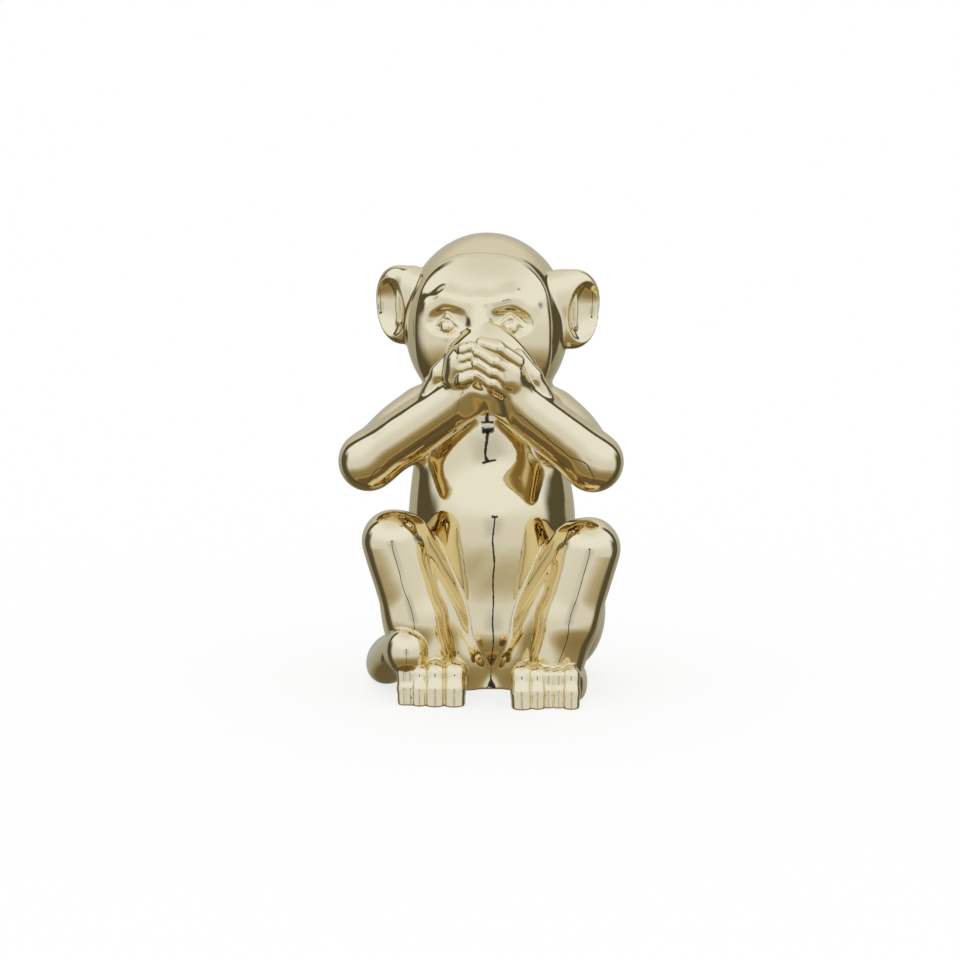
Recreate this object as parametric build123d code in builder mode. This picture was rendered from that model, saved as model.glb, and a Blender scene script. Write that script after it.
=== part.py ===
"""A seated monkey with both hands over its mouth, slip-cast in pieces that are luted together.

Millimetres, +Z up, the face towards -Y. Left and right are the viewer's, so left is -X.
The origin is on the ground, on the torso's upright axis.
"""

import os
from math import asin, cos, degrees, radians, sin

from build123d import *

os.makedirs("parts", exist_ok=True)

# The pose and the casting
TURN = 7.0                 # degrees that the head, shoulders and arms look towards -X
LEAN = 1.5                 # how far the head and arms stand towards -X
RIGHT_LEG_FORWARD = 5.0    # how far the right foot and knee stand in front of the left ones
FACE_OFFSET = 1.3          # how far the eyes, brows and muzzle stand to the right of the head's middle
GRIP_OFFSET = 3.8          # the same of the middle between the wrists
WALL = 4.5                 # thickness of the hollow torso and head
VENT_RADIUS = 5.0          # drain and vent hole under the torso
NECKING = 0.4              # how much thinner a limb ends than the ball of the limb it runs into
OVERRUN = 1.0              # how far a cut runs past the face that it opens
GROUND_FLAT = 1.0          # how deep the rounded forms are cut flat where they stand

# Torso, from the ground to the seam at the neck
TORSO_HEIGHT = 130.0
TORSO_HALF_WIDTH = 37.0
BELLY_REACH = 28.0
BACK_REACH = 48.0
# height, half width, reach in front and reach behind, as shares of the four sizes above
TORSO_SHARES = [
    (0.00, 0.80, 0.66, 0.78),
    (0.06, 0.92, 0.76, 0.91),
    (0.19, 0.99, 0.88, 0.99),
    (0.36, 1.00, 0.98, 1.00),
    (0.50, 0.99, 1.00, 0.97),
    (0.64, 0.96, 0.98, 0.91),
    (0.78, 0.92, 0.90, 0.82),
    (0.90, 0.87, 0.76, 0.73),
    (1.00, 0.76, 0.62, 0.63),
]

# Head, measured up from the seam at the neck
HEAD_HEIGHT = 68.0
HEAD_HALF_WIDTH = 34.5
HEAD_BACK = 3.0            # the skull's centre lies this far behind the axis
# radius and height of the skull's side, as shares of the half width and the height
SKULL_SHARES = [
    (0.80, 0.00),
    (0.86, 0.08),
    (0.96, 0.24),
    (1.00, 0.42),
    (0.97, 0.59),
    (0.88, 0.74),
    (0.70, 0.865),
    (0.43, 0.955),
]
FACE_INSET = 5.0           # width of the hood that shows beside the face plate
FACE_HALF_HEIGHT = 35.0
FACE_FORWARD = 10.0
FACE_UP = 28.0
CHIN_RADIUS = 20.5         # the muzzle's lower end
CHIN_FORWARD = 32.0
CHIN_UP = 9.0
NOSE_RADIUS = 12.5         # the muzzle's upper end
NOSE_FORWARD = 35.0
NOSE_UP = 21.5
BRIDGE_RADIUS = 4.0        # the ridge from the nose up to the brows
EYE_RADIUS = 4.2
EYE_SPREAD = 13.3
EYE_UP = 33.0
SOCKET_RADIUS = 6.0
SOCKET_DEPTH = 2.2
SOCKET_HALF_LENGTH = 4.5
BROW_RADIUS = 2.6
BROW_UP = 41.0
# place across and height of the brow's nose end, arch and temple end, as shares of the eyes'
# spread and the brow's height
BROW_SHARES = [(0.15, 0.94), (0.85, 1.00), (1.70, 0.90)]

# Ears
EAR_HALF_WIDTH = 12.5
EAR_HALF_HEIGHT = 17.5
EAR_THICKNESS = 9.0
EAR_ROUNDING = 3.0
EAR_RIM = 3.4              # width of the rim outside the bowl
EAR_BOWL_HALF_WIDTH = 6.8
EAR_BACK_WALL = 3.0        # clay left behind the bowl
EAR_SPREAD = 37.5
EAR_UP = 36.5
EAR_FLARE = 28.0           # degrees that the bowl opens outwards

# Arms
SHOULDER_RADIUS = 13.8
SHOULDER_SPREAD = 28.5
SHOULDER_BACK = 5.0
SHOULDER_DROP = 14.0       # below the seam at the neck
ELBOW_RADIUS = 11.8
ELBOW_SPREAD = 50.0
ELBOW_FORWARD = 28.0
ELBOW_DROP = 27.4
WRIST_RADIUS = 10.8
WRIST_SPREAD = 9.5
WRIST_FORWARD = 43.5
WRIST_UP = 4.0

# Hands, measured at the middle of the row of finger tips
HAND_UP = 20.0
HAND_COVER = 4.5           # how far the fingers' middle lines lie in front of the muzzle
PALM_RADIUS = 9.5
KNUCKLE_BACK = 8.0         # how far the knuckles lie behind the tips
FINGER_RADIUS = 3.1
FINGER_PITCH = 4.6         # measured square to the fingers
FINGER_COUNT = 4
LEFT_FINGER_LENGTH = 9.0
LEFT_FINGER_SLOPE = 10.0   # degrees that the tips stand above the knuckles
RIGHT_FINGER_LENGTH = 17.5
RIGHT_FINGER_SLOPE = 38.0
THUMB_RADIUS = 3.6

# Legs
HIP_RADIUS = 24.0
HIP_SPREAD = 26.0
HIP_BACK = 8.0
KNEE_RADIUS = 13.5
KNEE_SPREAD = 42.0
KNEE_FORWARD = 29.0
ELBOW_KNEE_GAP = 9.5       # open height between an elbow and the knee below it
ANKLE_RADIUS = 12.5
ANKLE_SPREAD = 28.0
ANKLE_FORWARD = 26.0
ANKLE_UP = 19.0
INNER_THIGH_RADIUS = 15.5  # the swelling of the thighs where they meet in front of the belly
INNER_THIGH_SPREAD = 14.2
INNER_THIGH_FORWARD = 13.0

# Feet
FOOT_HALF_WIDTH = 15.0
FOOT_SPREAD = 24.8
FOOT_REACH = 25.5          # how far the toe tips lie in front of the ankle
HEEL_RADIUS = 12.0
HEEL_BACK = 6.0            # how far the heel lies behind the ankle
INSTEP_RADIUS = 12.0
BALL_RADIUS = 9.0          # the row of knuckles across the foot
BALL_FORWARD = 13.5
TOE_ROOT_UP = 13.5
TOE_ROOT_FORWARD = 18.0
# place across the foot and radius of each toe, as shares of the foot's half width
LEFT_TOE_SHARES = [(-0.80, 0.20), (-0.58, 0.22), (-0.26, 0.25), (0.16, 0.30), (0.66, 0.34)]
RIGHT_TOE_SHARES = [(-0.68, 0.32), (-0.20, 0.28), (0.18, 0.23), (0.50, 0.22), (0.79, 0.21)]

# Tail
TAIL_RADIUS = 9.2
TAIL_TIP_RADIUS = 9.8
TAIL_HALF_LENGTH = 47.0    # half the oval that the tail's middle follows, front to back
TAIL_HALF_WIDTH = 37.5     # half of it from side to side
TAIL_SPREAD = 45.8         # how far the tail's middle lies to the left of the axis
TAIL_FORWARD = 3.0         # how far the oval's centre lies in front of the axis
TAIL_RISE = 13.8           # how far the tip lies above the part on the ground
TAIL_START = 62.0          # degrees round the haunch, from +X towards +Y, inside the torso
TAIL_END = 227.0
TAIL_LEFT = 176.0          # degrees at which the tail starts to rise
TAIL_SECTIONS = 12

SEAM = TORSO_HEIGHT
FACE_HALF_WIDTH = HEAD_HALF_WIDTH - FACE_INSET
HAND_FORWARD = CHIN_FORWARD + CHIN_RADIUS + HAND_COVER
KNEE_UP = SEAM - ELBOW_DROP - ELBOW_RADIUS - ELBOW_KNEE_GAP - KNEE_RADIUS
UPPER = Plane(
    origin=(-LEAN, 0, SEAM),
    x_dir=(cos(radians(TURN)), -sin(radians(TURN)), 0),
    z_dir=(0, 0, 1),
)
SIDES = {"left": -1, "right": 1}


def upper(across, back, up):
    """A point of the turned head and arms, with its height taken from the seam at the neck."""
    return UPPER.from_local_coords(Vector(across, back, up))


# The upright planes on which the forearms and the finger tips meet
GRIP = Plane(origin=upper(GRIP_OFFSET, 0, 0), x_dir=(0, 0, 1), z_dir=UPPER.x_dir)
FINGER_TIPS = Plane(origin=upper(FACE_OFFSET, 0, 0), x_dir=(0, 0, 1), z_dir=UPPER.x_dir)


def egg(half_height, radius):
    """An upright ellipse turned about its long axis."""
    with BuildPart() as form:
        with BuildSketch(Plane.XZ):
            Ellipse(radius, half_height)
            with Locations((-radius, 0)):
                Rectangle(2 * radius, 2 * half_height, mode=Mode.SUBTRACT)
        revolve(axis=Axis.Z)
    return form.part


def limb(start, end, start_radius, end_radius):
    """Two balls and the cone that touches both: a tapered limb with round ends."""
    along = end - start
    length = along.length
    lean = degrees(asin((start_radius - end_radius) / length))
    side = along.cross(Vector(0, 0, 1))
    plane = Plane(origin=start, x_dir=along, z_dir=side)
    with BuildPart() as form:
        with BuildSketch(plane):
            with BuildLine():
                first = CenterArc((0, 0), start_radius, 90 - lean, 90 + lean)
                last = CenterArc((length, 0), end_radius, 0, 90 - lean)
                Line(first @ 0, last @ 1)
                Line(first @ 1, last @ 0)
            make_face()
        revolve(axis=Axis(start, along))
    return form.part


def torso_section(share, inset):
    """Half width, half depth and centre of the torso's oval at one row of shares."""
    width = TORSO_HALF_WIDTH * share[1] - inset
    front = BELLY_REACH * share[2] - inset
    back = BACK_REACH * share[3] - inset
    return width, (front + back) / 2, (back - front) / 2


def torso_oval(share, inset, height):
    """The torso's oval section as a sketch at a height."""
    half_width, half_depth, centre = torso_section(share, inset)
    with BuildSketch(Plane.XY.offset(height)) as oval:
        with Locations((0, centre)):
            Ellipse(half_width, half_depth)
    return oval.sketch


def skull(inset):
    """The skull's side turned about its axis, drawn in all round by a wall, above the seam."""
    inner_height = HEAD_HEIGHT - 2 * inset
    points = [
        (HEAD_HALF_WIDTH * radius_share - inset, inset + inner_height * height_share)
        for radius_share, height_share in SKULL_SHARES
    ]
    with BuildPart() as form:
        with BuildSketch(Plane.XZ):
            with BuildLine():
                side = Spline(*points, (0, inset + inner_height), tangents=[(0.3, 1), (-1, 0)])
                Polyline(side @ 1, (0, inset), side @ 0)
            make_face()
        revolve(axis=Axis.Z)
    return form.part.moved(Location((0, HEAD_BACK, 0)))


def on_face(across, up, depth):
    """A point at a depth behind the face plate's front, or in front of it where that is negative."""
    across_share = across / FACE_HALF_WIDTH
    up_share = (up - FACE_UP) / FACE_HALF_HEIGHT
    front = FACE_FORWARD + FACE_HALF_WIDTH * (1 - across_share**2 - up_share**2) ** 0.5
    return upper(across, depth - front, up)


def outer_torso():
    """The torso's outside: its ovals joined into one smooth form."""
    with BuildPart() as form:
        loft([torso_oval(share, 0, TORSO_HEIGHT * share[0]) for share in TORSO_SHARES])
    return form.part


def above_neck(form):
    """The part of a form that lies above the seam at the neck."""
    with BuildPart() as piece:
        add(form)
        split(bisect_by=Plane.XY.offset(SEAM), keep=Keep.TOP)
    return piece.part


def outer_head():
    """Skull, face plate, sockets, eyes, brows and muzzle, cut off level at the neck."""
    face = egg(FACE_HALF_HEIGHT, FACE_HALF_WIDTH).moved(Location((0, -FACE_FORWARD, FACE_UP)))
    chin = upper(FACE_OFFSET, -CHIN_FORWARD, CHIN_UP)
    nose = upper(FACE_OFFSET, -NOSE_FORWARD, NOSE_UP)
    with BuildPart() as form:
        add(skull(0).moved(UPPER.location))
        add(above_neck(face.moved(UPPER.location)))
        for side in SIDES.values():
            socket = [
                on_face(FACE_OFFSET + side * (EYE_SPREAD + reach), EYE_UP, SOCKET_DEPTH - SOCKET_RADIUS)
                for reach in (-SOCKET_HALF_LENGTH, SOCKET_HALF_LENGTH)
            ]
            add(limb(*socket, SOCKET_RADIUS, SOCKET_RADIUS), mode=Mode.SUBTRACT)
            with Locations(on_face(FACE_OFFSET + side * EYE_SPREAD, EYE_UP, EYE_RADIUS)):
                Sphere(EYE_RADIUS)
            nose_end, arch, temple_end = [
                on_face(FACE_OFFSET + side * EYE_SPREAD * across, BROW_UP * up, BROW_RADIUS / 2)
                for across, up in BROW_SHARES
            ]
            add(limb(nose_end, arch, BROW_RADIUS, BROW_RADIUS))
            add(limb(arch, temple_end, BROW_RADIUS - NECKING, BROW_RADIUS - NECKING))
        bridge_top = on_face(FACE_OFFSET, BROW_UP, BRIDGE_RADIUS / 2)
        bridge_foot = upper(FACE_OFFSET, -NOSE_FORWARD - NOSE_RADIUS / 2, NOSE_UP + NOSE_RADIUS / 2)
        add(limb(bridge_top, bridge_foot, BRIDGE_RADIUS, BRIDGE_RADIUS))
        add(above_neck(limb(chin, nose, CHIN_RADIUS, NOSE_RADIUS)))
    return form.part


def ear(side):
    """A rounded oval disc seated on the skull, with a bowl in its front away from the skull."""
    centre = upper(side * EAR_SPREAD, EAR_THICKNESS / 2, EAR_UP)
    turn = radians(side * EAR_FLARE - TURN)
    bowl_across = side * (EAR_HALF_WIDTH - EAR_RIM - EAR_BOWL_HALF_WIDTH)
    bowl_half_height = EAR_HALF_HEIGHT - EAR_RIM
    front = Plane(origin=centre, x_dir=(cos(turn), sin(turn), 0), z_dir=(sin(turn), -cos(turn), 0))
    with BuildPart() as form:
        with BuildSketch(front):
            Ellipse(EAR_HALF_WIDTH, EAR_HALF_HEIGHT)
        extrude(amount=EAR_THICKNESS)
        fillet(form.edges(), EAR_ROUNDING)
        add(skull(0).moved(UPPER.location), mode=Mode.SUBTRACT)
        with BuildSketch(front.offset(EAR_THICKNESS)) as mouth:
            with Locations((bowl_across, 0)):
                Ellipse(EAR_BOWL_HALF_WIDTH, bowl_half_height)
        with BuildSketch(front.offset(EAR_BACK_WALL)) as floor:
            with Locations((bowl_across, 0)):
                Ellipse(EAR_BOWL_HALF_WIDTH / 2, bowl_half_height - EAR_RIM)
        loft([mouth.sketch, floor.sketch], mode=Mode.SUBTRACT)
    return form.part


def arm(side):
    """Upper arm and forearm: two tapered limbs that share the elbow."""
    shoulder = upper(side * SHOULDER_SPREAD, SHOULDER_BACK, -SHOULDER_DROP)
    elbow = upper(side * ELBOW_SPREAD, -ELBOW_FORWARD, -ELBOW_DROP)
    wrist = upper(GRIP_OFFSET + side * WRIST_SPREAD, -WRIST_FORWARD, WRIST_UP)
    with BuildPart() as form:
        add(limb(shoulder, elbow, SHOULDER_RADIUS, ELBOW_RADIUS - NECKING))
        add(limb(elbow, wrist, ELBOW_RADIUS, WRIST_RADIUS))
        split(bisect_by=GRIP, keep=Keep.TOP if side > 0 else Keep.BOTTOM)
    return form.part


def hand(side, finger_length, slope):
    """A palm over the end of the forearm, four fingers in a row and a thumb."""
    rise = finger_length * sin(radians(slope))
    reach = finger_length * cos(radians(slope))
    wrist = upper(GRIP_OFFSET + side * WRIST_SPREAD, -WRIST_FORWARD, WRIST_UP)
    palm_up = HAND_UP - rise
    row_pitch = FINGER_PITCH / cos(radians(slope))
    knuckle_back = KNUCKLE_BACK - HAND_FORWARD
    knuckle_across = FACE_OFFSET + side * (FINGER_RADIUS + reach)
    palm = upper(FACE_OFFSET + side * reach, knuckle_back + PALM_RADIUS / 2, palm_up)
    with BuildPart() as form:
        add(limb(wrist, palm, PALM_RADIUS, PALM_RADIUS))
        for finger in range(FINGER_COUNT):
            up = palm_up + row_pitch * (finger - (FINGER_COUNT - 1) / 2)
            knuckle = upper(knuckle_across, knuckle_back, up)
            tip = upper(FACE_OFFSET + side * FINGER_RADIUS / 2, -HAND_FORWARD, up + rise)
            add(limb(knuckle, tip, FINGER_RADIUS, FINGER_RADIUS))
        thumb_root = upper(FACE_OFFSET + side * (reach + PALM_RADIUS), -WRIST_FORWARD, THUMB_RADIUS)
        thumb_tip = upper(knuckle_across, knuckle_back + THUMB_RADIUS, palm_up + PALM_RADIUS)
        add(limb(thumb_root, thumb_tip, THUMB_RADIUS, THUMB_RADIUS))
        split(bisect_by=FINGER_TIPS, keep=Keep.TOP if side > 0 else Keep.BOTTOM)
    return form.part


def leg(side):
    """Haunch, thigh and shin: tapered limbs that meet at the knee, flat underneath."""
    step = RIGHT_LEG_FORWARD * max(side, 0)
    hip = Vector(side * HIP_SPREAD, HIP_BACK, HIP_RADIUS - GROUND_FLAT)
    knee = Vector(side * KNEE_SPREAD, -KNEE_FORWARD - step, KNEE_UP)
    ankle = Vector(side * ANKLE_SPREAD, -ANKLE_FORWARD - step, ANKLE_UP)
    inner_up = INNER_THIGH_RADIUS - GROUND_FLAT
    inner_thigh = Vector(side * INNER_THIGH_SPREAD, -INNER_THIGH_FORWARD, inner_up)
    with BuildPart() as form:
        add(limb(hip, knee, HIP_RADIUS, KNEE_RADIUS - NECKING))
        add(limb(inner_thigh, knee, INNER_THIGH_RADIUS, KNEE_RADIUS - 2 * NECKING))
        add(limb(knee, ankle, KNEE_RADIUS, ANKLE_RADIUS))
        split(bisect_by=Plane.YZ, keep=Keep.TOP if side > 0 else Keep.BOTTOM)
    return form.part


def foot(side, toe_shares):
    """Heel, instep and a row of knuckles across the foot, with toes that slope to the ground."""
    ankle = -ANKLE_FORWARD - RIGHT_LEG_FORWARD * max(side, 0)
    ball_up = BALL_RADIUS - GROUND_FLAT
    heel = Vector(side * FOOT_SPREAD, ankle + HEEL_BACK, HEEL_RADIUS - GROUND_FLAT)
    instep = Vector(side * FOOT_SPREAD, ankle - BALL_FORWARD + BALL_RADIUS, INSTEP_RADIUS)
    knuckles = [
        Vector(side * FOOT_SPREAD + end * (FOOT_HALF_WIDTH - BALL_RADIUS), ankle - BALL_FORWARD, ball_up)
        for end in SIDES.values()
    ]
    with BuildPart() as form:
        add(limb(heel, instep, HEEL_RADIUS, INSTEP_RADIUS))
        add(limb(*knuckles, BALL_RADIUS, BALL_RADIUS))
        for place_share, radius_share in toe_shares:
            radius = FOOT_HALF_WIDTH * radius_share
            across = side * FOOT_SPREAD + FOOT_HALF_WIDTH * place_share
            root = Vector(across, ankle - TOE_ROOT_FORWARD, TOE_ROOT_UP)
            tip = Vector(across, ankle - FOOT_REACH + radius, radius - GROUND_FLAT)
            add(limb(root, tip, radius, radius))
    return form.part


def tail_point(angle):
    """A point of the tail's middle line: half an oval round the haunch that rises at its end."""
    rising = max(0, (angle - TAIL_LEFT) / (TAIL_END - TAIL_LEFT))
    rise = TAIL_RISE * rising**2 * (3 - 2 * rising)
    return Vector(
        TAIL_HALF_WIDTH * (cos(radians(angle)) + 1) - TAIL_SPREAD,
        TAIL_HALF_LENGTH * sin(radians(angle)) - TAIL_FORWARD,
        TAIL_RADIUS - GROUND_FLAT + rise,
    )


def tail():
    """Round sections joined along the middle line, with a ball for the tip."""
    step = (TAIL_END - TAIL_START) / TAIL_SECTIONS
    with BuildPart() as form:
        sections = []
        for index in range(TAIL_SECTIONS + 1):
            angle = TAIL_START + step * index
            along = tail_point(angle + 1) - tail_point(angle - 1)
            with BuildSketch(Plane(origin=tail_point(angle), z_dir=along)) as section:
                Circle(TAIL_RADIUS)
            sections.append(section.sketch)
        loft(sections)
        with Locations(tail_point(TAIL_END)):
            Sphere(TAIL_TIP_RADIUS)
    return form.part


def seated(form, *neighbours):
    """A piece cut level with the ground and cut back to the faces of what it is luted to."""
    with BuildPart() as piece:
        add(form)
        if form.bounding_box().min.Z < 0:
            split(bisect_by=Plane.XY, keep=Keep.TOP)
        for neighbour in neighbours:
            add(neighbour, mode=Mode.SUBTRACT)
    return piece.part


torso_form = outer_torso()
head_form = outer_head()
arm_forms = [arm(side) for side in SIDES.values()]
leg_forms = [leg(side) for side in SIDES.values()]

with BuildPart() as torso:
    add(torso_form)
    inner = [torso_oval(share, WALL, TORSO_HEIGHT * share[0]) for share in TORSO_SHARES[1:-1]]
    loft([*inner, torso_oval(TORSO_SHARES[-1], WALL, SEAM + OVERRUN)], mode=Mode.SUBTRACT)
    with BuildSketch(Plane.XY):
        with Locations((0, BACK_REACH - BELLY_REACH)):
            Circle(VENT_RADIUS)
    extrude(amount=TORSO_HEIGHT * TORSO_SHARES[1][0] + OVERRUN, mode=Mode.SUBTRACT)
torso.part.label = "torso"
export_step(torso.part, "parts/torso.step")

with BuildPart() as head:
    add(head_form)
    add(skull(WALL).moved(UPPER.location), mode=Mode.SUBTRACT)
    with BuildSketch(Plane.XY.offset(SEAM - OVERRUN)):
        add(torso_oval(TORSO_SHARES[-1], WALL, SEAM - OVERRUN))
    extrude(amount=2 * WALL, mode=Mode.SUBTRACT)
head.part.label = "head"
export_step(head.part, "parts/head.step")

with BuildPart() as left_ear:
    add(ear(-1))
left_ear.part.label = "left_ear"
export_step(left_ear.part, "parts/left_ear.step")

with BuildPart() as right_ear:
    add(ear(1))
right_ear.part.label = "right_ear"
export_step(right_ear.part, "parts/right_ear.step")

with BuildPart() as left_arm:
    add(seated(arm_forms[0], torso_form, head_form))
left_arm.part.label = "left_arm"
export_step(left_arm.part, "parts/left_arm.step")

with BuildPart() as right_arm:
    add(seated(arm_forms[1], torso_form, head_form))
right_arm.part.label = "right_arm"
export_step(right_arm.part, "parts/right_arm.step")

with BuildPart() as left_hand:
    add(seated(hand(-1, LEFT_FINGER_LENGTH, LEFT_FINGER_SLOPE), head_form, *arm_forms))
left_hand.part.label = "left_hand"
export_step(left_hand.part, "parts/left_hand.step")

with BuildPart() as right_hand:
    add(seated(hand(1, RIGHT_FINGER_LENGTH, RIGHT_FINGER_SLOPE), head_form, *arm_forms))
right_hand.part.label = "right_hand"
export_step(right_hand.part, "parts/right_hand.step")

with BuildPart() as left_leg:
    add(seated(leg_forms[0], torso_form))
left_leg.part.label = "left_leg"
export_step(left_leg.part, "parts/left_leg.step")

with BuildPart() as right_leg:
    add(seated(leg_forms[1], torso_form))
right_leg.part.label = "right_leg"
export_step(right_leg.part, "parts/right_leg.step")

left_foot_form = foot(-1, LEFT_TOE_SHARES)
with BuildPart() as left_foot:
    add(seated(left_foot_form, leg_forms[0]))
left_foot.part.label = "left_foot"
export_step(left_foot.part, "parts/left_foot.step")

with BuildPart() as right_foot:
    add(seated(foot(1, RIGHT_TOE_SHARES), leg_forms[1]))
right_foot.part.label = "right_foot"
export_step(right_foot.part, "parts/right_foot.step")

with BuildPart() as tail_piece:
    add(seated(tail(), torso_form, leg_forms[0], left_foot_form))
tail_piece.part.label = "tail"
export_step(tail_piece.part, "parts/tail.step")
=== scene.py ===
"""A seated monkey with both hands over its mouth: one figure in clay, glazed and gilded.

The figure is sculpted as a field: for any point, a number that says how far it lies outside the
clay, in millimetres, and is negative inside. Round forms have such a number each, and forms that
run into each other are joined by a smooth minimum. The surface is where the number is zero.
"""

from concurrent.futures import ThreadPoolExecutor
from math import cos, pi, radians, sin

import bpy
import numpy as np
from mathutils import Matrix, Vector


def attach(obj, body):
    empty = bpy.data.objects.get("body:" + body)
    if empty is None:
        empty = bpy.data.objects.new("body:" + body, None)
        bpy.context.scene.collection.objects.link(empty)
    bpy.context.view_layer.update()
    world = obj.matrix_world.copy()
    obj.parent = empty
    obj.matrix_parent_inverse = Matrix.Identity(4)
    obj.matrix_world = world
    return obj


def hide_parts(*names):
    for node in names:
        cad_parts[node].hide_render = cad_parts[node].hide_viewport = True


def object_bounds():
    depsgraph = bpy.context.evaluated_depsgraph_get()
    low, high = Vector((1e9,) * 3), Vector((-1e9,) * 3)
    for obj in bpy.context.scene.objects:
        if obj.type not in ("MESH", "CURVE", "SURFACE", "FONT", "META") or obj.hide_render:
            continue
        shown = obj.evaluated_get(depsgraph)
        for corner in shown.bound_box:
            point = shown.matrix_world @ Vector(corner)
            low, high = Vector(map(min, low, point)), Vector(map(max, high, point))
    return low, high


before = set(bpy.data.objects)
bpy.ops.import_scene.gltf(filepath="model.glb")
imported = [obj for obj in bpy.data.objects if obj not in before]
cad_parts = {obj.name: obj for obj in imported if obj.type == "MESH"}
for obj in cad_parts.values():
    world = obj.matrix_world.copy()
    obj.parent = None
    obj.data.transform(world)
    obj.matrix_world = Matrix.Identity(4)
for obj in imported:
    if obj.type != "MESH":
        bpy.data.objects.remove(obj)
cad_low, cad_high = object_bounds()

MM = 0.001
FAR = 60.0                 # stands for a form too far away to matter
REACH = 14.0               # no blend reaches further

# The photograph's camera
CAMERA_UP = 10.5           # degrees above the level
CAMERA_AWAY = 1300.0
CAMERA_TARGET = (-5.0, 0.0, 89.7)
FRAME_PIXELS = 960
PIXELS_PER_MM = 2.28       # at the target
SENSOR = 36.0

# The pose, as in the solids
TURN = 7.0                 # degrees that the head and arms look towards -X
LEAN = 1.5
SEAM = 130.0               # height of the neck
STEP = 5.0                 # how far the right leg stands in front of the left one

UPPER_AXES = np.array([
    [cos(radians(TURN)), -sin(radians(TURN)), 0],
    [sin(radians(TURN)), cos(radians(TURN)), 0],
    [0, 0, 1],
])
SIDES = (-1, 1)


class Patch:
    """Some points of the clay that are worked out together, with the corners of their box."""

    def __init__(self, points):
        self.points = points
        self.low = points.min(axis=0)
        self.high = points.max(axis=0)


class Form:
    """A form of clay: a function that measures how far points lie outside it, and its box.

    Where a patch lies further from the box than any blend reaches, the form counts as far away.
    """

    def __init__(self, measure, low, high):
        self.measure, self.low, self.high = measure, low, high

    def __call__(self, patch):
        if np.maximum(self.low - patch.high, patch.low - self.high).max() > REACH:
            return FAR
        return self.measure(patch)


def upper(across, back, up):
    """A point of the turned head and arms, with its height taken from the neck."""
    return UPPER_AXES.T @ (across, back, up) + (-LEAN, 0, SEAM)


def turned(about_z=0.0, about_x=0.0, about_y=0.0, base=np.eye(3)):
    """Three upright axes turned about Y, then X, then Z, in degrees, on top of a base's turn."""
    z, x, y = radians(about_z), radians(about_x), radians(about_y)
    spin = np.array([[cos(z), sin(z), 0], [-sin(z), cos(z), 0], [0, 0, 1]])
    nod = np.array([[1, 0, 0], [0, cos(x), sin(x)], [0, -sin(x), cos(x)]])
    roll = np.array([[cos(y), 0, -sin(y)], [0, 1, 0], [sin(y), 0, cos(y)]])
    return roll @ nod @ spin @ base


def egg(centre, radii, axes=np.eye(3), power=2.0):
    """An ellipsoid, boxier as the power grows.

    With q the point's place along each axis as a share of that radius, the size n is the root of
    the sum of q to the power, and the distance is n less one, over how fast n grows there.
    """
    radii = np.asarray(radii, float)
    centre = np.asarray(centre, float)

    def measure(patch):
        share = np.abs((patch.points - centre) @ axes.T) / radii + 1e-6
        size = (share**power).sum(axis=1) ** (1 / power)
        growth = np.sqrt((((share / size[:, None]) ** (power - 1) / radii) ** 2).sum(axis=1))
        return (size - 1) / growth

    reach = np.abs(axes.T) @ radii
    return Form(measure, centre - reach, centre + reach)


def limb(start, end, start_radius, end_radius, swell=0.0):
    """A tube with round ends along a straight middle line.

    The distance to the nearest point of the line, less a radius that runs from one end's to the
    other's along a smooth step, with a bell-shaped swelling half way.
    """
    start, end = np.asarray(start, float), np.asarray(end, float)
    run = end - start

    def measure(patch):
        place = patch.points - start
        along = np.clip(place @ run / (run @ run), 0, 1)
        away = place - along[:, None] * run
        radius = start_radius + (end_radius - start_radius) * along * along * (3 - 2 * along)
        if swell:
            bell = 1 - ((along - 0.5) / 0.5) ** 2
            radius = radius + swell * np.clip(bell, 0, None) ** 2
        return np.sqrt((away * away).sum(axis=1)) - radius

    widest = max(start_radius, end_radius) + max(swell, 0)
    return Form(measure, np.minimum(start, end) - widest, np.maximum(start, end) + widest)


def melt(width, first, second):
    """The smaller of two distances, lowered by a cubic where the two are close."""
    close = np.maximum(width - np.abs(first - second), 0) / width
    return np.minimum(first, second) - close**3 * width / 6


def melted(width, *forms):
    """Forms run into each other over a width."""
    def measure(patch):
        total = FAR
        for form in forms:
            total = melt(width, total, form(patch))
        return total

    low = np.min([form.low for form in forms], axis=0)
    high = np.max([form.high for form in forms], axis=0)
    return Form(measure, low, high)


def carved(width, body, tool):
    """A body with a tool's form taken out of it, with a rounded lip."""
    return Form(lambda patch: -melt(width, -body(patch), tool(patch)), body.low, body.high)


def chain(width, *places):
    """Limbs in a row through some places, each given with its radius, melted into a bent form."""
    links = [limb(a[:3], b[:3], a[3], b[3]) for a, b in zip(places[:-1], places[1:])]
    return melted(width, *links)


def upper_chain(width, *places):
    """A chain whose places are taken from the neck in the turned frame."""
    return chain(width, *[(*upper(*place[:3]), place[3]) for place in places])


def torso():
    """Pot belly, seat, flat chest and rounded back, with the vent hole in the underside."""
    trunk = melted(
        10,
        egg((0, 12, 60), (37.0, 27.5, 62), power=2.3),
        egg((0, 13, 26), (37.5, 33.2, 33), power=2.2),
        egg((-1.0, 6.0, 99), (32.0, 24.0, 42), turned(about_z=2), power=2.25),
        egg((-0.5, 18, 82), (29, 25.5, 46), turned(about_x=12)),
        limb((-1, 17, 108), upper(0, 9, 8), 22.5, 22.5),
    )
    belly = limb((1.1, 4.2, 73), (1.1, 1.5, 28), 32.0, 26.6)
    base = egg((0, -2, 0), (23, 17.5, 34), power=2.6)
    vent = limb((0, 20, -6), (0, 20, 7), 5, 4.5)
    return carved(0.8, melted(5, melted(11, trunk, belly), base), vent)


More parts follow.
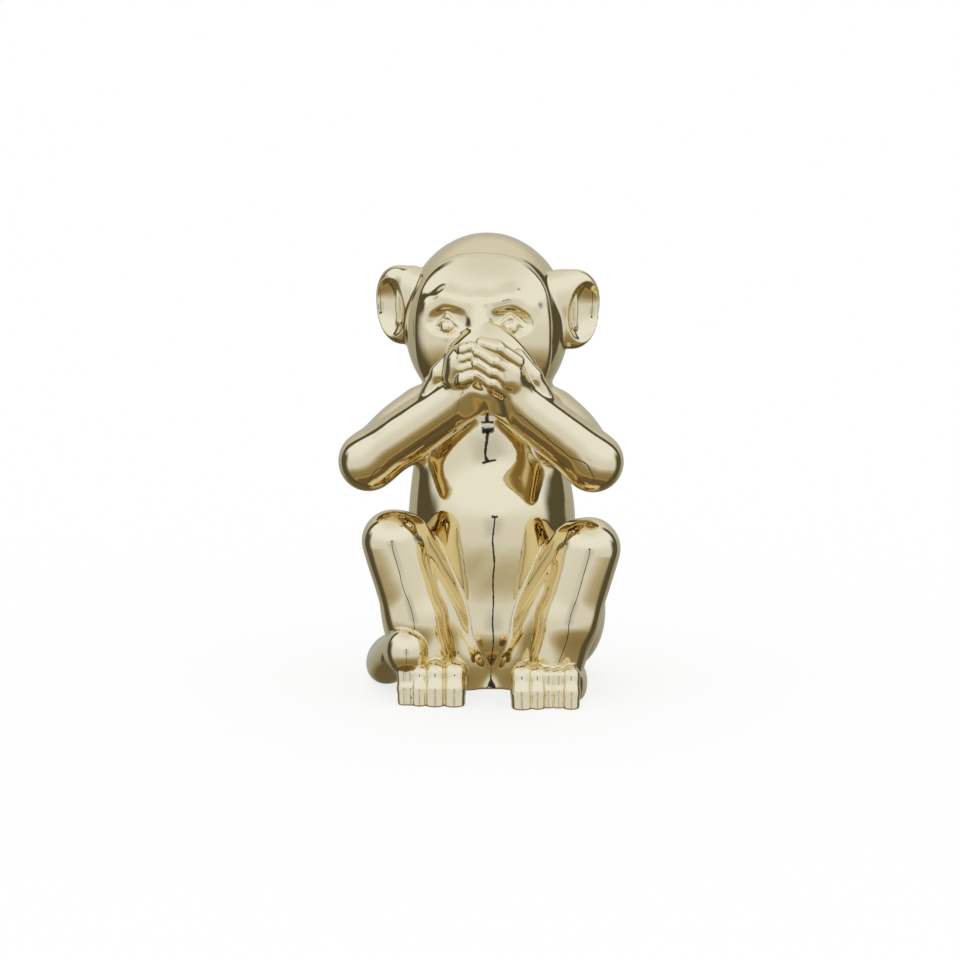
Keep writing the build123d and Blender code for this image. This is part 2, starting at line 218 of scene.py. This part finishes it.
HOOD_CENTRE = (-0.9, 3.0, 28.0)
HOOD_RADII = (35.8, 36.0, 39.9)
PLATE_CENTRE = (-0.3, 2.5, 28.0)
PLATE_RADII = (41.0, 38.0, 40.3)
FACE_MIDDLE = -0.3
EYE_ASIDE = 13.2           # from the face's middle to each eye


def on_face(across, up, out=0.0):
    """A point of the turned head on the face plate at a height from the neck, or out of it."""
    aside = (across - PLATE_CENTRE[0]) / PLATE_RADII[0]
    above = (up - PLATE_CENTRE[2]) / PLATE_RADII[2]
    depth = PLATE_RADII[1] * (1 - aside * aside - above * above) ** 0.5
    return (across, PLATE_CENTRE[1] - depth - out, up)


def face_chain(width, *places):
    """A chain whose places lie on the face: across, up, how far out, radius."""
    return upper_chain(width, *[(*on_face(*place[:3]), place[3]) for place in places])


def shared(width, first, second):
    """What two forms have in common, with a rounded edge."""
    low, high = np.maximum(first.low, second.low), np.minimum(first.high, second.high)
    return Form(lambda patch: -melt(width, -first(patch), -second(patch)), low, high)


def head():
    """Hood, face plate with brows, sockets, lids and eyes, nose, and the muzzle under the hands."""
    hood = egg(upper(*HOOD_CENTRE), HOOD_RADII, UPPER_AXES)
    plate = egg(upper(*PLATE_CENTRE), PLATE_RADII, UPPER_AXES)
    face = shared(2.4, plate, egg(upper(0.4, -24, 26.6), (29.8, 24, 35.4), UPPER_AXES, power=2.7))
    for side in SIDES:
        middle = FACE_MIDDLE + side * EYE_ASIDE
        axes = turned(about_z=side * 21, about_y=side * 5, base=UPPER_AXES)
        brow = face_chain(
            5,
            (middle + side * 8.0, 40.0, -3.4, 2.9),
            (middle + side * 0.5, 43.4, -2.9, 3.4),
            (middle - side * 9.5, 41.8, -2.6, 3.0),
        )
        socket = egg(upper(*on_face(middle, 34.4, 3.1)), (14.6, 6.2, 7.4), axes)
        upper_lid = face_chain(
            2,
            (middle + side * 6.8, 30.4, -3.0, 1.0),
            (middle, 35.6, -2.7, 1.3),
            (middle - side * 6.0, 31.0, -3.0, 0.9),
        )
        lower_lid = face_chain(
            2,
            (middle + side * 6.4, 29.8, -2.6, 1.0),
            (middle, 26.8, -2.0, 1.3),
            (middle - side * 5.6, 29.4, -2.9, 0.9),
        )
        eye = egg(upper(*on_face(middle, 31.0, -4.4)), (3.9, 4.0, 3.9), UPPER_AXES)
        face = carved(1.3, melted(5, face, brow), socket)
        face = melted(0.5, melted(1.4, face, upper_lid, lower_lid), eye)
    nose = upper_chain(3, (*on_face(0.2, 42, -3.4), 3.8), (*on_face(1.0, 31, -2.0), 4.2))
    muzzle = carved(
        5,
        egg(upper(4.0, -35.0, -3), (28.5, 15.5, 37.4), UPPER_AXES, power=1.55),
        egg(upper(4.0, -30, -46), (70, 60, 56), UPPER_AXES),
    )
    face = melted(4.0, face, nose)
    face = melted(1.8, face, muzzle)
    return melted(0.6, hood, face)


EAR_CENTRES = {-1: (-37.8, -1.0, 36.6), 1: (36.8, -1.0, 35.8)}


def ear(side):
    """A disc that opens outwards, hollowed to a bowl with a ridge in it."""
    axes = turned(about_z=side * 26, about_y=side * 6, base=UPPER_AXES)
    facing = turned(about_z=side * (57 + side * 7), about_y=side * 6, base=UPPER_AXES)
    centre = upper(*EAR_CENTRES[side])

    def place(across, back, up):
        return centre + axes.T @ (side * across, back, up)

    rim = melted(
        4,
        egg(centre, (12.6, 5.4, 17.2), axes, power=2.25),
        egg(place(-7.5, 0.5, 5.0), (9.0, 6.5, 11.5), axes),
    )
    bowl = egg(place(2.2, -3.6, -1.4) - facing.T @ (0, 5.6, 0), (10.0, 9.4, 15.2), facing)
    ridge = limb(place(0.0, -1.4, 7.0), place(1.5, -1.0, -7.0), 0.9, 1.1, 0.5)
    return melted(1.8, carved(1.4, rim, bowl), ridge)


HAND_SHIFT = 4.5           # the hands meet a little to the right of the face's middle
ELBOWS = {-1: (-48.6, -27.5, -28.0), 1: (48.5, -27.5, -26.2)}
SHOULDERS = {-1: (-28.6, 5, -13.4), 1: (26.8, 5, -13.6)}


def arm(side):
    """Shoulder, upper arm and forearm."""
    elbow = upper(*ELBOWS[side])
    wrist = upper(HAND_SHIFT + side * 9.0, -42.0, 4.2)
    return melted(
        8,
        limb(upper(*SHOULDERS[side]), elbow, 13.8, 11.7, 0.9),
        limb(elbow, wrist, 11.7, 10.8, 0.4),
    )


# under the hands the wrists fall away, so that they face the ground
WRIST_HOLLOW = egg(upper(4.5, -102.1, -24.1), (27, 60, 60), UPPER_AXES)


def left_hand():
    """A short broad hand whose four fingers rise a little towards the middle of the mouth."""
    form = upper_chain(4, (-6.0, -46.0, 12.5, 7.8), (-4.6, -48.0, 18.5, 8.0))
    fingers = [(-4.6, 24.4, 2.8), (-5.2, 20.6, 2.7), (-5.2, 16.6, 2.7), (-4.4, 12.0, 3.4)]
    for across, up, radius in fingers:
        finger = upper_chain(
            1.5,
            (across - 2.0, -50.6, up - 1.0, radius - 0.3),
            (across + 1.0, -53.6, up + 0.4, radius),
            (-0.6, -54.6, up + 1.6, radius - 0.1),
        )
        form = melted(0.9, form, finger)
    thumb = upper_chain(3, (-21.0, -38.5, 1.0, 4.6), (-15.4, -42.2, 13.0, 3.8), (-11.0, -43.0, 20.0, 3.0))
    return melted(2.0, form, thumb)


def right_hand():
    """A longer hand whose four fingers slant up from the wrist to the middle of the mouth."""
    form = upper_chain(4, (17.0, -42.5, 6.5, 8.0), (12.4, -47.2, 13.4, 8.3), (7.6, -48.2, 20.5, 7.8))
    rows = [
        ((4.0, -54.2, 27.6, 2.9), (10.4, -53.8, 25.8, 3.2), (18.2, -49.4, 19.6, 3.3)),
        ((2.6, -55.4, 24.2, 2.8), (9.2, -55.4, 20.2, 3.0), (17.4, -50.4, 14.4, 3.2)),
        ((2.2, -55.8, 19.4, 2.7), (8.4, -55.6, 15.8, 2.8), (15.8, -50.8, 10.4, 3.0)),
        ((2.2, -55.4, 14.8, 2.7), (8.0, -55.2, 11.2, 2.8), (14.2, -50.4, 6.6, 2.9)),
    ]
    for row in rows:
        form = melted(0.8, form, upper_chain(1.5, *row))
    thumb = upper_chain(3, (29.0, -36.5, 1.0, 4.6), (24.0, -40.5, 12.0, 4.0), (18.0, -42.5, 21.0, 3.2))
    return melted(2.0, form, thumb)


def leg(side):
    """Haunch, thigh, the inner thigh in front of the belly, knee and shin."""
    is_right = side > 0
    ahead = STEP * is_right
    knee = np.array((41.8 if is_right else -42.6, -28.5 - ahead, 68.5 - 2.5 * is_right))
    wide = 2.6 * is_right
    haunch = melted(
        8,
        limb((side * 23.0, 8, 26), knee + (side * -2.6, 5, -3), 22.5, 14.6, 0.8),
        egg((side * (23.2 + wide), 7, 28), (24.5, 26, 27.5), power=2.1),
    )
    inner = melted(
        8,
        limb(knee + (-side * 2.5, 4, -3), (side * 13.0, -9.5, 15), 13.6, 14.6, 0.6),
        limb((side * 13.0, -9.5, 15), (side * 12.2, -8.0, -3), 14.6, 13.6),
    )
    shin = chain(
        6,
        (*knee, 13.4),
        (side * 33.2, -28.4 - ahead, 35.0, 12.9),
        (side * 28.6, -27.0 - ahead, 18.0, 12.4),
    )
    return melted(2.0, melted(5, haunch, inner), shin)


# place across the foot and radius of each toe
LEFT_TOES = [(-13.0, 2.5), (-10.2, 2.7), (-6.2, 3.1), (0.6, 4.3), (8.9, 4.6)]
RIGHT_TOES = [(-12.8, 4.5), (-6.1, 3.4), (-1.4, 2.6), (3.0, 2.7), (8.4, 3.5)]


def foot(side, toes):
    """Heel and instep with five toes whose tips stand on the ground."""
    is_right = side > 0
    ball = -38.0 - STEP * is_right
    middle = 25.6 if is_right else -24.8
    form = melted(
        5,
        egg((middle + side * 0.8, ball + 12.5, 6.5), (15.2, 15.5, 10.6), power=2.5),
        egg((middle - 1.5 * is_right, ball + 4.5, 7.5), (13.6, 9.0, 9.0), power=2.4),
        limb((side * 28.0, ball + 13, 20), (middle, ball + 3, 9.5), 10.0, 6.0),
    )
    for across, radius in toes:
        place = middle + across
        top = 14.2 + 0.25 * radius
        short = 0.0 if radius > 3 else 1.2
        toe = chain(
            2,
            (place * 0.97 + middle * 0.03, ball + 0.5, top - 1.2, radius * 0.95),
            (place, ball - 4.6, top - 1.4, radius * 1.04),
            (place, ball - 7.0 + short, 7.0, radius * 1.04),
            (place * 0.98 + middle * 0.02, ball - 8.0 + short, -0.5, radius * 1.04),
        )
        form = melted(0.5, form, toe)
    return form


TAIL_CENTRE = np.array((-8.0, -3.0))
TAIL_OVAL = np.array((38.0, 46.8))
TAIL_RADIUS = 9.3
TAIL_TIP = (-36.6, -38.0, 22.3)
TAIL_ANGLES = (62.0, 182.0, 224.0)     # degrees from +X: the root, where it starts to rise, the tip
TAIL_LIFT = 13.5


def tail():
    """A tube round the left haunch on the ground that ends in a round tip on the left foot.

    Seen from above its middle line is an oval. With n the point's place from the oval's centre as
    a share of the oval, the distance to the line is n less one, over how fast n grows there,
    together with the point's height above the line, which lies on the ground and then rises along
    a smooth step of the angle.
    """
    start, rising, end = TAIL_ANGLES

    def ribbon(patch):
        place = (patch.points[:, :2] - TAIL_CENTRE) / TAIL_OVAL
        size = np.sqrt((place**2).sum(axis=1)) + 1e-6
        growth = np.sqrt(((place / TAIL_OVAL) ** 2).sum(axis=1)) / size + 1e-6
        angle = np.degrees(np.arctan2(place[:, 1], place[:, 0])) % 360
        rise = np.clip((angle - rising) / (end - rising), 0, 1)
        height = TAIL_RADIUS - 0.9 + TAIL_LIFT * rise * rise * (3 - 2 * rise)
        tube = np.sqrt(((size - 1) / growth) ** 2 + (patch.points[:, 2] - height) ** 2) - TAIL_RADIUS
        beyond = np.maximum(start - angle, angle - end)
        beyond = np.where(angle > 300, start, beyond)
        return np.maximum(tube, beyond * radians(1) * TAIL_OVAL[0])

    low = np.array((*(TAIL_CENTRE - TAIL_OVAL - TAIL_RADIUS), -2.0))
    high = np.array((*(TAIL_CENTRE + TAIL_OVAL + TAIL_RADIUS), 34.0))
    return melted(2, Form(ribbon, low, high), egg(TAIL_TIP, (9.2, 10.0, 11.0)))


PIECES = {
    "torso": torso(),
    "head": head(),
    "left_ear": ear(-1),
    "right_ear": ear(1),
    "left_arm": arm(-1),
    "right_arm": arm(1),
    "left_hand": left_hand(),
    "right_hand": right_hand(),
    "left_leg": leg(-1),
    "right_leg": leg(1),
    "left_foot": foot(-1, LEFT_TOES),
    "right_foot": foot(1, RIGHT_TOES),
    "tail": tail(),
}


# how many millimetres each slow wave of the hand-smoothed clay is long, and how high
WAVES = [(31, 0.07), (23, 0.05), (17, 0.034), (11, 0.020), (8, 0.011)]
WAVE_WAYS = np.random.default_rng(5).normal(size=(len(WAVES), 3))
WAVE_WAYS /= np.linalg.norm(WAVE_WAYS, axis=1, keepdims=True)


def unevenness(points):
    """Slow waves in the surface: a sine for each length, running in a direction of its own."""
    return sum(
        height * np.sin(points @ (way * (2 * pi / length)))
        for way, (length, height) in zip(WAVE_WAYS, WAVES)
    )


def figure(patch):
    """The whole figure's distance at each point, and the number of the piece nearest to it.

    The pieces melt into each other in turn, over a width that says how soft each joint is. Then
    come the slow waves, and the flat cut along the ground.
    """
    form = {name: piece(patch) for name, piece in PIECES.items()}
    body = melt(6, form["torso"], form["head"])
    body = melt(2.5, body, melt(3, form["left_ear"], form["right_ear"]))
    # an arm grows out of the chest at the shoulder, and only lies against it further forward
    grown = np.clip((patch.points[:, 1] + 30) / 25, 0, 1)
    reach = 1.2 + 7 * grown * grown * (3 - 2 * grown)
    arms = melt(5, form["left_arm"], form["right_arm"])
    arms = -melt(3, -arms, WRIST_HOLLOW(patch))
    hands = melt(0.5, form["left_hand"], form["right_hand"])
    body = melt(reach, body, melt(2.2, arms, hands))
    body = melt(2.0, body, melt(1.5, form["left_leg"], form["right_leg"]))
    body = melt(1.6, body, melt(2.0, form["left_foot"], form["right_foot"]))
    body = melt(1.0, body, form["tail"])
    body = -melt(1.5, -(body + unevenness(patch.points)), patch.points[:, 2])
    nearest = np.full((len(PIECES), len(patch.points)), FAR)
    for row, name in enumerate(PIECES):
        nearest[row] = form[name]
    return body, nearest.argmin(axis=0) + 1


CELL = 20.0                # millimetres along the side of a cell


def in_cells(points, work):
    """Runs a function on the points of each cubic cell by themselves, and joins the results.

    A cell's number has two digits for each of its three places, counted from 50 cells below zero.
    """
    key = np.floor(points / CELL).astype(np.int64) + 50
    key = (key[:, 0] * 100 + key[:, 1]) * 100 + key[:, 2]
    order = np.argsort(key, kind="stable")
    groups = np.split(order, np.flatnonzero(np.diff(key[order])) + 1)
    with ThreadPoolExecutor(4) as pool:
        parts = list(pool.map(lambda rows: work(points[rows]), groups))
    joined = np.empty((len(points), *parts[0].shape[1:]))
    for rows, part in zip(groups, parts):
        joined[rows] = part
    return joined


TAPS = np.array([[1, -1, -1], [-1, -1, 1], [-1, 1, -1], [1, 1, 1]], float)
TAP_STEP = 0.05


def distance_and_slope(points):
    """The field and its slope, from four points that stand round each one like a tetrahedron."""
    around = (points[None, :, :] + TAP_STEP * TAPS[:, None, :]).reshape(-1, 3)
    values = figure(Patch(around))[0].reshape(4, -1).T
    return np.column_stack([values.mean(axis=1), values @ TAPS / (4 * TAP_STEP)])


def onto_surface(points):
    """Each point moved along the slope to where the field is zero, and the slope there."""
    for _ in range(2):
        found = in_cells(points, distance_and_slope)
        slope = found[:, 1:]
        points = points - slope * (found[:, :1] / (slope**2).sum(axis=1, keepdims=True))
    return points, slope / np.linalg.norm(slope, axis=1, keepdims=True)


BRICK = 16                 # grid steps along a brick's side
STEEPEST = 1.6             # the field changes by no more than this over a millimetre
WIDEST_MELT = 3.0          # and a melt lowers it by no more than this


def fill_grid(low, high, step):
    """The field and the owner of each point of a grid, brick by brick where there may be clay."""
    counts = np.ceil((high - low) / step).astype(int) + 1
    distance = np.full(counts, FAR, np.float32)
    owner = np.zeros(counts, np.int8)
    starts = np.stack(
        np.meshgrid(*[np.arange(0, count, BRICK) for count in counts], indexing="ij"), axis=-1
    ).reshape(-1, 3)

    def fill(start):
        stop = np.minimum(start + BRICK, counts)
        ticks = [low[axis] + step * np.arange(start[axis], stop[axis]) for axis in range(3)]
        corner = np.array([tick[0] for tick in ticks])
        middle = (corner + [tick[-1] for tick in ticks]) / 2
        half = np.linalg.norm(middle - corner)
        if figure(Patch(middle[None, :]))[0][0] > STEEPEST * half + WIDEST_MELT:
            return
        points = np.stack(np.meshgrid(*ticks, indexing="ij"), axis=-1).reshape(-1, 3)
        field, piece = figure(Patch(points))
        shape = tuple(stop - start)
        block = tuple(slice(a, b) for a, b in zip(start, stop))
        distance[block] = field.reshape(shape)
        owner[block] = np.where(field < 0, piece, 0).reshape(shape)

    with ThreadPoolExecutor(4) as pool:
        list(pool.map(fill, starts))
    return distance, owner


CORNERS = np.array([(i, j, k) for i in (0, 1) for j in (0, 1) for k in (0, 1)])


def net(distance, owner, low, step):
    """Surface nets: one vertex in each grid cube whose corners differ, and four-sided faces.

    A vertex is the mean of the places where the cube's edges cross the surface. Each grid edge
    whose ends differ gives a face between the four cubes round it.
    """
    cubes = tuple(count - 1 for count in owner.shape)
    views = [owner[i:i + cubes[0], j:j + cubes[1], k:k + cubes[2]] for i, j, k in CORNERS]
    mixed = np.zeros(cubes, bool)
    for view in views[1:]:
        mixed |= view != views[0]
    where = np.argwhere(mixed)
    number = np.full(cubes, -1, np.int32)
    number[mixed] = np.arange(len(where))
    at = where[:, None, :] + CORNERS[None, :, :]
    flat = np.ravel_multi_index(at.transpose(2, 0, 1), owner.shape)
    corner_owner = owner.ravel()[flat]
    corner_field = distance.ravel()[flat].astype(float)
    sums = {True: np.zeros((len(where), 4)), False: np.zeros((len(where), 4))}
    for first in range(8):
        for last in range(first + 1, 8):
            if np.abs(CORNERS[first] - CORNERS[last]).sum() != 1:
                continue
            a, b = corner_owner[:, first], corner_owner[:, last]
            for outer, rows in (
                (True, (a == 0) != (b == 0)),
                (False, (a != b) & (a != 0) & (b != 0)),
            ):
                fa, fb = corner_field[rows, first], corner_field[rows, last]
                share = fa / (fa - fb) if outer else np.full(len(fa), 0.5)
                spot = CORNERS[first] + share[:, None] * (CORNERS[last] - CORNERS[first])
                sums[outer][rows] += np.column_stack([spot, np.ones(len(spot))])
    outer = sums[True][:, 3] > 0
    chosen = np.where(outer[:, None], sums[True], sums[False])
    points = low + step * (where + chosen[:, :3] / chosen[:, 3:])

    faces, sides = [], []
    for axis in range(3):
        b, c = (axis + 1) % 3, (axis + 2) % 3
        ahead = [slice(None)] * 3
        behind = [slice(None)] * 3
        ahead[axis], behind[axis] = slice(1, None), slice(None, -1)
        one, two = owner[tuple(behind)], owner[tuple(ahead)]
        spots = np.argwhere(one != two)
        corners = []
        for shift_b, shift_c in ((-1, -1), (0, -1), (0, 0), (-1, 0)):
            cube = spots.copy()
            cube[:, b] += shift_b
            cube[:, c] += shift_c
            corners.append(number[tuple(cube.T)])
        faces.append(np.stack(corners, axis=1))
        sides.append(np.stack([one[tuple(spots.T)], two[tuple(spots.T)]], axis=1))
    return points, outer, np.concatenate(faces), np.concatenate(sides)


def piece_mesh(name, index, points, normals, faces, sides):
    """A closed mesh of one piece: its faces to the air and its faces to its neighbours."""
    ahead = faces[sides[:, 0] == index]
    behind = faces[sides[:, 1] == index][:, ::-1]
    quads = np.concatenate([ahead, behind])
    air = np.concatenate([sides[sides[:, 0] == index, 1], sides[sides[:, 1] == index, 0]]) == 0
    used, corners = np.unique(quads, return_inverse=True)
    corners = corners.reshape(-1)
    mesh = bpy.data.meshes.new(name)
    mesh.vertices.add(len(used))
    mesh.vertices.foreach_set("co", (points[used] * MM).astype(np.float32).ravel())
    mesh.loops.add(len(corners))
    mesh.loops.foreach_set("vertex_index", corners.astype(np.int32))
    mesh.polygons.add(len(quads))
    mesh.polygons.foreach_set("loop_start", np.arange(0, len(corners), 4, dtype=np.int32))
    mesh.polygons.foreach_set("use_smooth", np.ones(len(quads), bool))
    mesh.update(calc_edges=True)
    split = normals[used][corners]
    split[np.repeat(~air, 4)] = 0
    mesh.normals_split_custom_set(split)
    return mesh


def linear(hex_colour):
    """An sRGB colour such as #cfc39a as the linear numbers that a shader takes."""
    channels = [int(hex_colour[i:i + 2], 16) / 255 for i in (1, 3, 5)]
    return (*[c / 12.92 if c <= 0.04045 else ((c + 0.055) / 1.055) ** 2.4 for c in channels], 1)


def node(tree, kind, inputs=None, **settings):
    """A shader node with its settings, and its sockets given a value or another's output."""
    made = tree.nodes.new(kind)
    for key, value in settings.items():
        setattr(made, key, value)
    for key, value in (inputs or {}).items():
        if isinstance(value, bpy.types.NodeSocket):
            tree.links.new(value, made.inputs[key])
        else:
            made.inputs[key].default_value = value
    return made


RIPPLES = 260.0            # in a metre: the fired glaze ripples about every 4 mm


def gilded_glaze():
    """Stoneware with a clear fired glaze and a pale gold lustre electroplated on it.

    To the eye it is a warm mirror, sharp at the edges of what it shows, whose lines waver a
    little because the glaze under the gold has flowed and rippled.
    """
    material = bpy.data.materials.new("gilded_glaze")
    material.use_nodes = True
    tree = material.node_tree
    shader = tree.nodes["Principled BSDF"]
    shader.inputs["Base Color"].default_value = linear("#e6d4a6")
    shader.inputs["Metallic"].default_value = 1.0
    shader.inputs["Roughness"].default_value = 0.035
    place = node(tree, "ShaderNodeTexCoord")
    ripple = node(tree, "ShaderNodeTexNoise", {
        "Vector": place.outputs["Object"], "Scale": RIPPLES, "Detail": 2.0,
    })
    bump = node(tree, "ShaderNodeBump", {
        "Height": ripple.outputs["Fac"], "Strength": 0.025, "Distance": 0.001,
    })
    tree.links.new(bump.outputs["Normal"], shader.inputs["Normal"])
    return material


GRID_STEP = 0.7
GRID_MARGIN = 8.0
grid_low = np.array(cad_low) / MM - GRID_MARGIN
grid_high = np.array(cad_high) / MM + GRID_MARGIN
grid_distance, grid_owner = fill_grid(grid_low, grid_high, GRID_STEP)
points, outer, faces, sides = net(grid_distance, grid_owner, grid_low, GRID_STEP)
normals = np.zeros_like(points)
points[outer], normals[outer] = onto_surface(points[outer])
points[:, 2] = np.maximum(points[:, 2], 0)
glaze = gilded_glaze()
for index, name in enumerate(PIECES, start=1):
    mesh = piece_mesh(name + "_clay", index, points, normals, faces, sides)
    mesh.materials.append(glaze)
    piece = bpy.data.objects.new(name + "_clay", mesh)
    bpy.context.scene.collection.objects.link(piece)
    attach(piece, "root")
    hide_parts(name)


def maths(tree, operation, *values):
    """A number worked out from one, two or three others."""
    return node(tree, "ShaderNodeMath", dict(enumerate(values)), operation=operation).outputs[0]


def fade(tree, value, start, end):
    """0 where a value is at start or before it, 1 at end or past it, and smooth in between."""
    made = node(tree, "ShaderNodeMapRange", {"Value": value, "From Min": start, "From Max": end})
    made.interpolation_type = "SMOOTHSTEP"
    return made.outputs["Result"]


def band(tree, value, start, end, soft):
    """1 where a value lies from start to end, with soft edges, else 0."""
    rises = fade(tree, value, start - soft, start + soft)
    falls = fade(tree, value, end + soft, end - soft)
    return maths(tree, "MULTIPLY", rises, falls)


STUDIO_BRIGHTNESS = 1.6

# linear red, green and blue of the studio by height in degrees, in front of the figure: the
# table, its gilt-coloured edge, its top, the cloth's foot, the white cloth
FRONT = [
    (-90, (0.14, 0.105, 0.06)), (-60, (0.17, 0.125, 0.07)),
    (-55, (0.46, 0.33, 0.14)),
    (-50, (0.28, 0.23, 0.13)), (-34, (0.35, 0.30, 0.19)),
    (-25, (0.56, 0.55, 0.50)),
    (-17, (0.80, 0.87, 1.08)), (0, (0.84, 0.92, 1.15)), (20, (0.98, 1.12, 1.48)),
    (45, (1.00, 1.13, 1.50)), (70, (0.86, 0.95, 1.20)), (90, (0.84, 0.92, 1.15)),
]
# and behind it: the table, a grey wall, the white cloth above
BEHIND = [
    (-90, (0.14, 0.105, 0.06)), (-40, (0.16, 0.13, 0.08)),
    (-20, (0.40, 0.41, 0.37)), (0, (0.48, 0.50, 0.50)), (25, (0.60, 0.62, 0.64)),
    (45, (0.80, 0.84, 0.95)), (90, (0.84, 0.92, 1.15)),
]
GAP = (0.105, 0.097, 0.066)            # the unlit room, seen past the cloth at both sides

# degrees round from the front, and degrees up, over which parts of the studio fade in
WALL_FROM = (122, 128)
LOW_GAP_FROM, LOW_GAP_TOP = (80, 98), (28, 8)
HIGH_GAP_FROM, HIGH_GAP_TOP = (104, 110), (62, 44)

# dark things before the cloth, in degrees: half the width and its softness, foot, top and their
# softness, and how dark it is
DARK_THINGS = [
    (1.4, 0.4, -80, 10, 1, 0.95),      # the camera's stand
    (5, 1, 8.5, 12.5, 1, 0.97),        # the camera
    (14, 8, -12, 8, 6, 0.22),          # the dim shape round them
]


def by_height(tree, height, stops):
    """A colour that follows the height in degrees."""
    made = node(tree, "ShaderNodeValToRGB", {"Fac": maths(tree, "MULTIPLY_ADD", height, 1 / 180, 0.5)})
    ramp = made.color_ramp
    while len(ramp.elements) < len(stops):
        ramp.elements.new(0.5)
    for element, (degrees, colour) in zip(ramp.elements, stops):
        element.position = degrees / 180 + 0.5
        element.color = (*[channel / STUDIO_BRIGHTNESS for channel in colour], 1)
    return made.outputs["Color"]


def studio_world():
    """The photographer's room as the glaze mirrors it, by direction, and plain white for the rest.

    White cloth in front and above, a brown table, dark gaps at both sides, and the camera on its
    stand. The angle round from the front and the height come from the direction's arctangent and
    arcsine. Only the glaze sees this room: the figure's matt surroundings and the camera see white.
    """
    world = bpy.data.worlds.new("studio")
    bpy.context.scene.world = world
    world.use_nodes = True
    tree = world.node_tree
    tree.nodes.clear()
    outwards = node(tree, "ShaderNodeTexCoord").outputs["Generated"]
    x, y, z = node(tree, "ShaderNodeSeparateXYZ", {0: outwards}).outputs
    around = maths(tree, "DEGREES", maths(tree, "ARCTAN2", x, maths(tree, "MULTIPLY", y, -1.0)))
    height = maths(tree, "DEGREES", maths(tree, "ARCSINE", z))
    aside = maths(tree, "ABSOLUTE", around)
    room = node(tree, "ShaderNodeMixRGB", {
        0: fade(tree, aside, *WALL_FROM),
        1: by_height(tree, height, FRONT),
        2: by_height(tree, height, BEHIND),
    }).outputs[0]
    low_gap, high_gap = [
        maths(tree, "MULTIPLY", fade(tree, aside, *start), fade(tree, height, *top))
        for start, top in ((LOW_GAP_FROM, LOW_GAP_TOP), (HIGH_GAP_FROM, HIGH_GAP_TOP))
    ]
    either = maths(tree, "MAXIMUM", low_gap, high_gap)
    gaps = maths(tree, "MULTIPLY", either, fade(tree, aside, *reversed(WALL_FROM)))
    gap_colour = (*[channel / STUDIO_BRIGHTNESS for channel in GAP], 1)
    room = node(tree, "ShaderNodeMixRGB", {0: gaps, 1: room, 2: gap_colour}).outputs[0]
    level = STUDIO_BRIGHTNESS
    for half, soft, foot_at, top_at, soft_ends, depth in DARK_THINGS:
        across = band(tree, around, -half, half, soft)
        dark = maths(tree, "MULTIPLY", across, band(tree, height, foot_at, top_at, soft_ends))
        level = maths(tree, "MULTIPLY", level, maths(tree, "MULTIPLY_ADD", dark, -depth, 1.0))
    mirrored = node(tree, "ShaderNodeBackground", {"Color": room, "Strength": level})
    paper = node(tree, "ShaderNodeBackground", {"Color": (1, 1, 1, 1), "Strength": 1.0})
    light_path = node(tree, "ShaderNodeLightPath")
    seen = node(tree, "ShaderNodeMixShader", {
        0: light_path.outputs["Is Glossy Ray"], 1: paper.outputs[0], 2: mirrored.outputs[0],
    })
    node(tree, "ShaderNodeOutputWorld", {"Surface": seen.outputs[0]})


SHADOW_FADED = 0.75        # how much of the shadow the white backdrop hides


def floor_paint():
    """White paper: seen as the white backdrop with the figure's shadow faint on it.

    The glaze sees the studio through it, since the room there has its own table.
    """
    material = bpy.data.materials.new("white_paper")
    material.use_nodes = True
    tree = material.node_tree
    tree.nodes.clear()
    light_path = node(tree, "ShaderNodeLightPath")
    matt = node(tree, "ShaderNodeBsdfDiffuse", {"Color": (1, 1, 1, 1)})
    white = node(tree, "ShaderNodeEmission", {"Color": (1, 1, 1, 1), "Strength": 1.0})
    clear = node(tree, "ShaderNodeBsdfTransparent")

    def either(share, first, second):
        return node(tree, "ShaderNodeMixShader", {0: share, 1: first.outputs[0], 2: second.outputs[0]})

    pale = either(SHADOW_FADED, matt, white)
    seen = either(light_path.outputs["Is Camera Ray"], matt, pale)
    mixed = either(light_path.outputs["Is Glossy Ray"], seen, clear)
    node(tree, "ShaderNodeOutputMaterial", {"Surface": mixed.outputs[0]})
    return material


studio_world()

FLOOR_HALF = 30.0
floor_mesh = bpy.data.meshes.new("floor")
floor_corners = [(-1, -1), (1, -1), (1, 1), (-1, 1)]
floor_mesh.from_pydata([(FLOOR_HALF * x, FLOOR_HALF * y, 0) for x, y in floor_corners], [], [(0, 1, 2, 3)])
floor = bpy.data.objects.new("floor", floor_mesh)
bpy.context.scene.collection.objects.link(floor)
floor_mesh.materials.append(floor_paint())

camera_data = bpy.data.cameras.new("camera")
camera = bpy.data.objects.new("camera", camera_data)
bpy.context.scene.collection.objects.link(camera)
camera_data.sensor_width = SENSOR
camera_data.lens = SENSOR * PIXELS_PER_MM * CAMERA_AWAY / FRAME_PIXELS
camera_back = Vector((0, -cos(radians(CAMERA_UP)), sin(radians(CAMERA_UP))))
camera.location = (Vector(CAMERA_TARGET) + camera_back * CAMERA_AWAY) * MM
camera.rotation_euler = camera_back.to_track_quat("Z", "Y").to_euler()
bpy.context.scene.camera = camera
bpy.context.scene.view_settings.view_transform = "Standard"
